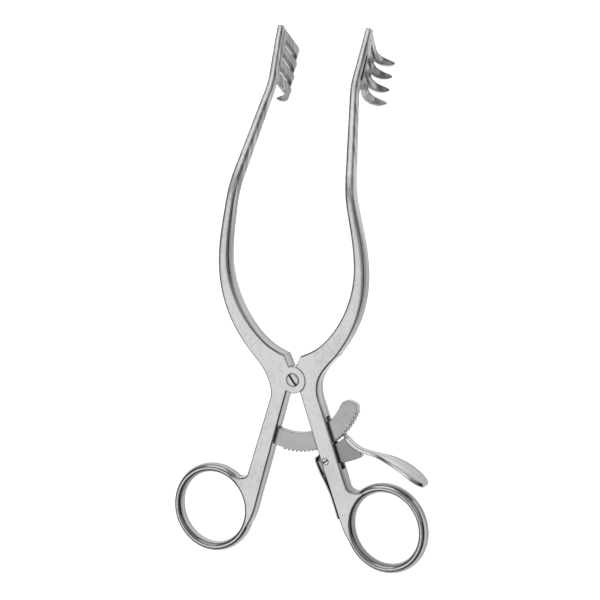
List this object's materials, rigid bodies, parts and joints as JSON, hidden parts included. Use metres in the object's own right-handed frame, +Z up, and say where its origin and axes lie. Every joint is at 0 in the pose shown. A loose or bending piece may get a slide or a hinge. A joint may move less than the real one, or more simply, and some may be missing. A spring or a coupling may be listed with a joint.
{
  "type": "self-retaining retractor",
  "caption": "Self-retaining retractor with ring handles, a toothed rack and sprung release lever, and bent arms ending in outward prongs.",
  "frame": {"origin": "centre of the footprint, on the surface the instrument lies on", "axes": "+Y from the finger rings towards the prongs, +X towards the arm with the pawl, +Z up; the front faces look up"},
  "size_m": [0.0988, 0.19, 0.0336],
  "materials": {
    "satin_steel": "satin",
    "polished_steel": "polished"
  },
  "bodies": {
    "rack_arm": {"left_arm": "satin_steel", "left_prong_plate": "polished_steel", "ratchet_rack": "satin_steel"},
    "pawl_arm": {"right_arm": "satin_steel", "right_prong_plate": "polished_steel", "pivot_screw": "polished_steel", "pawl_screw": "polished_steel", "leaf_spring": "polished_steel", "spring_screw": "polished_steel"},
    "release_lever": {"pawl": "satin_steel", "thumb_plate": "satin_steel"}
  },
  "joints": [
    {"name": "arm_spread", "type": "hinge", "parent": "rack_arm", "child": "pawl_arm", "pos_m": [-0.00024, -0.02933, 0.01713], "axis": [0, 0.2235, -0.9747], "range_deg": [-14, 28]},
    {"name": "pawl_release", "type": "hinge", "parent": "pawl_arm", "child": "release_lever", "pos_m": [0.01175, -0.05703, 0.01078], "axis": [0, 0.2235, -0.9747], "range_deg": [-3.2, 8], "stiffness_Nm_per_rad": 1.25}
  ]
}
